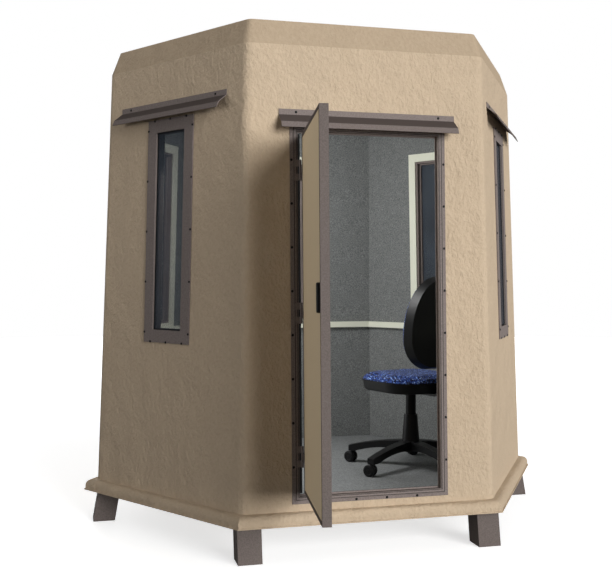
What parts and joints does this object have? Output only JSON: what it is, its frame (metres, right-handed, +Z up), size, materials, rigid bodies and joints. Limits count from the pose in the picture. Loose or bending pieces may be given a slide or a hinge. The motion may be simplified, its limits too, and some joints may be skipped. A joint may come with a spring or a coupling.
{
  "type": "hunting blind",
  "caption": "Six-sided moulded cabin on splayed legs, with a hinged door, tall narrow windows under drip awnings, a carpeted room and a swivel chair.",
  "frame": {"origin": "on the ground below the middle of the room", "axes": "+X to the right along the door wall seen from outside, +Y in through the door, +Z up"},
  "size_m": [2.4054, 2.4113, 2.325],
  "materials": {
    "stucco_shell": "tan moulded fibreglass with a stucco texture",
    "brown_trim": "satin brown powder coat",
    "floor_carpet": "short cut pile",
    "wall_carpet": "needle-punched carpet",
    "pale_trim": "off-white moulding",
    "window_glass": "lightly tinted",
    "door_skin": "tan moulded fibreglass",
    "black_plastic": "satin black",
    "black_steel": "satin black",
    "blue_fabric": "flecked woven upholstery"
  },
  "bodies": {
    "shelter": {"front_wall_left": "stucco_shell", "front_wall_right": "stucco_shell", "front_wall_head": "stucco_shell", "front_wall_sill": "stucco_shell", "left_front_wall": "stucco_shell", "left_back_wall": "stucco_shell", "back_wall": "stucco_shell", "right_back_wall": "stucco_shell", "right_front_wall": "stucco_shell", "roof": "stucco_shell", "base_pan": "stucco_shell", "leg_front_left": "brown_trim", "leg_front_right": "brown_trim", "leg_back_left": "brown_trim", "leg_back_right": "brown_trim", "leg_left": "brown_trim", "leg_right": "brown_trim", "floor_carpet": "floor_carpet", "wall_lining": "wall_carpet", "ceiling_lining": "wall_carpet", "window_frame_right_front": "brown_trim", "window_frame_right_back": "brown_trim", "window_frame_back": "brown_trim", "window_frame_left_back": "brown_trim", "window_frame_left_front": "brown_trim", "door_hinge_jamb": "brown_trim", "door_latch_jamb": "brown_trim", "door_head": "brown_trim", "door_threshold": "brown_trim", "window_panes": "window_glass", "window_trims": "pale_trim", "wall_rail": "pale_trim", "window_awnings": "brown_trim", "door_awning": "brown_trim", "chair_base": "black_plastic", "chair_casters": "black_plastic", "chair_column": "black_plastic"},
    "door": {"door_panel": "door_skin", "door_edge_trim": "brown_trim", "door_hinges": "brown_trim", "door_handle": "black_plastic"},
    "chair_post": {"chair_piston": "black_steel"},
    "chair_seat": {"chair_seat_shell": "black_plastic", "chair_seat_pad": "blue_fabric", "chair_back_shell": "black_plastic", "chair_back_pad": "blue_fabric", "chair_back_bar": "black_plastic"}
  },
  "joints": [
    {"name": "door_hinge", "type": "hinge", "parent": "shelter", "child": "door", "pos_m": [-0.31, -0.87966, 0.27238], "axis": [0, -0.0314, -0.9995], "range_deg": [-98, 70]},
    {"name": "chair_lift", "type": "slide", "parent": "shelter", "child": "chair_post", "axis": [0, 0, 1], "range_m": [-0.06, 0.04]},
    {"name": "chair_swivel", "type": "hinge", "parent": "chair_post", "child": "chair_seat", "pos_m": [0.453, -0.143, 0.596], "axis": [0, 0, 1], "continuous": true}
  ]
}
